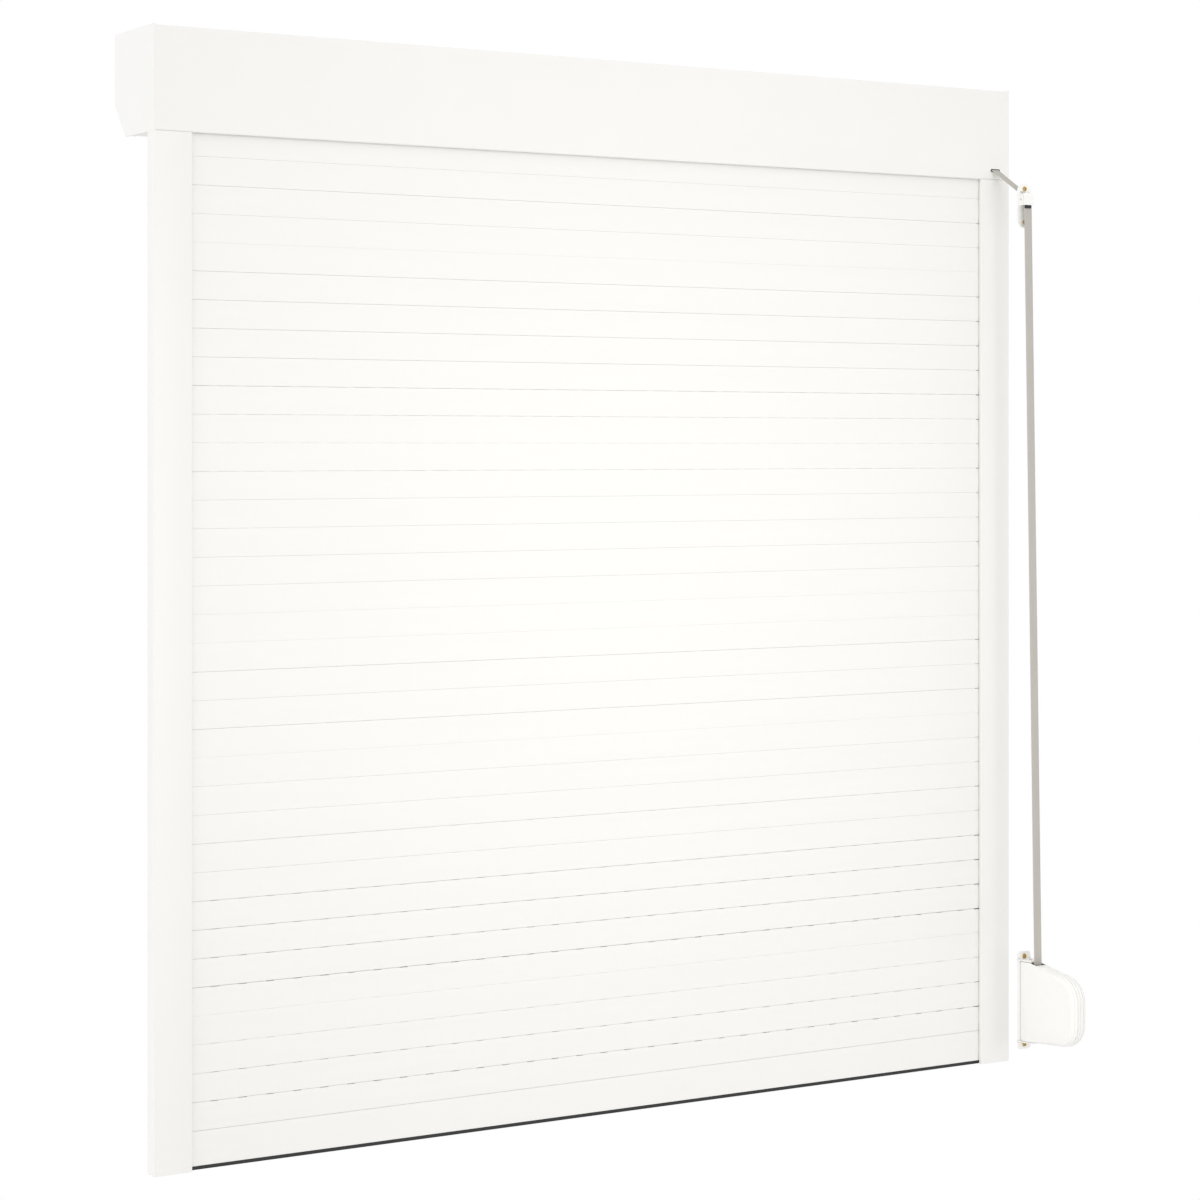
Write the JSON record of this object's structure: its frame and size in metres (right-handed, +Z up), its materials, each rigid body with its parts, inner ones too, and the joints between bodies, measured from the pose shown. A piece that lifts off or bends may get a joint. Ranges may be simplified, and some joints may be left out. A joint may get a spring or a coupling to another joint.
{
  "type": "exterior roller shutter",
  "caption": "Surface-mounted roller shutter: sloped box, two guide rails, slatted curtain with bottom bar, and a pull strap that runs over a guide to a swivelling wall winder.",
  "frame": {"origin": "mid-width on the mounting plane (the room-side face of box and rails), level with the axis of the winding shaft", "axes": "X along the shaft, to the right as seen from the room; +Y out to the street; +Z up"},
  "size_m": [1.39, 0.332, 1.475],
  "materials": {
    "white_aluminium": "smooth satin powder coat, warm white",
    "white_pvc": "extruded PVC, satin, warm white",
    "white_plastic": "moulded ABS, semi gloss, white",
    "grey_plastic": "moulded plastic, grey",
    "steel": "zinc-plated steel",
    "brass": "yellow passivated screw",
    "rubber": "black rubber",
    "strap_webbing": "woven flat strap, grey beige"
  },
  "bodies": {
    "frame": {"rail_left": "white_aluminium", "rail_right": "white_aluminium", "rail_seals": "grey_plastic", "rail_plugs": "white_plastic", "inlet_guides": "grey_plastic", "end_cap_left": "white_aluminium", "end_cap_right": "white_aluminium", "box_rear_panel": "white_aluminium", "box_service_cover": "white_aluminium", "cover_screws": "white_aluminium", "bearing_left": "grey_plastic", "bearing_right": "grey_plastic", "strap_outlet": "grey_plastic", "strap": "strap_webbing", "guide_base": "white_plastic", "guide_hood": "white_plastic", "guide_pin": "steel", "guide_screws": "brass", "winder_bracket": "white_aluminium", "winder_pivot_pins": "steel", "winder_screws": "brass"},
    "curtain": {"slats": "white_pvc", "slat_locks": "grey_plastic", "bottom_bar": "white_aluminium", "bottom_seal": "rubber", "bar_glides": "grey_plastic", "bar_stops": "rubber", "bar_stop_screws": "steel"},
    "shaft": {"shaft_tube": "steel", "shaft_plug_left": "grey_plastic", "shaft_plug_right": "grey_plastic", "axle_left": "steel", "axle_right": "steel", "strap_pulley": "grey_plastic", "strap_on_pulley": "strap_webbing", "hangers": "steel"},
    "guide_roller": {"guide_roller": "white_plastic"},
    "winder": {"winder_case_left": "white_plastic", "winder_case_right": "white_plastic", "winder_axle": "steel", "winder_mouth": "grey_plastic", "case_screws": "steel"},
    "reel": {"reel_drum": "grey_plastic", "reel_spring": "steel", "strap_on_reel": "strap_webbing"}
  },
  "joints": [
    {"name": "lift", "type": "slide", "parent": "frame", "child": "curtain", "axis": [0, 0, 1], "range_m": [0, 1.3], "deforming": ["slats", "slat_locks"]},
    {"name": "shaft_spin", "type": "hinge", "parent": "frame", "child": "shaft", "pos_m": [0, 0.067, 0], "axis": [1, 0, 0], "range_deg": [-1717, 0]},
    {"name": "guide_roller_spin", "type": "hinge", "parent": "frame", "child": "guide_roller", "pos_m": [0.6685, -0.0718, -0.1035], "axis": [1, 0, 0], "range_deg": [0, 12973]},
    {"name": "winder_swivel", "type": "hinge", "parent": "frame", "child": "winder", "pos_m": [0.6685, -0.08396, -1.3005], "axis": [0, 0, 1], "range_deg": [-80, 80], "deforming": ["strap"]},
    {"name": "reel_spin", "type": "hinge", "parent": "winder", "child": "reel", "pos_m": [0.6685, -0.125, -1.3015], "axis": [1, 0, 0], "range_deg": [-2552, 0]}
  ],
  "couplings": [
    {"joint": "shaft_spin", "follows": "lift", "rad_per_m": -22.988},
    {"joint": "guide_roller_spin", "follows": "lift", "rad_per_m": 174.1},
    {"joint": "reel_spin", "follows": "lift", "rad_per_m": -34.2}
  ]
}
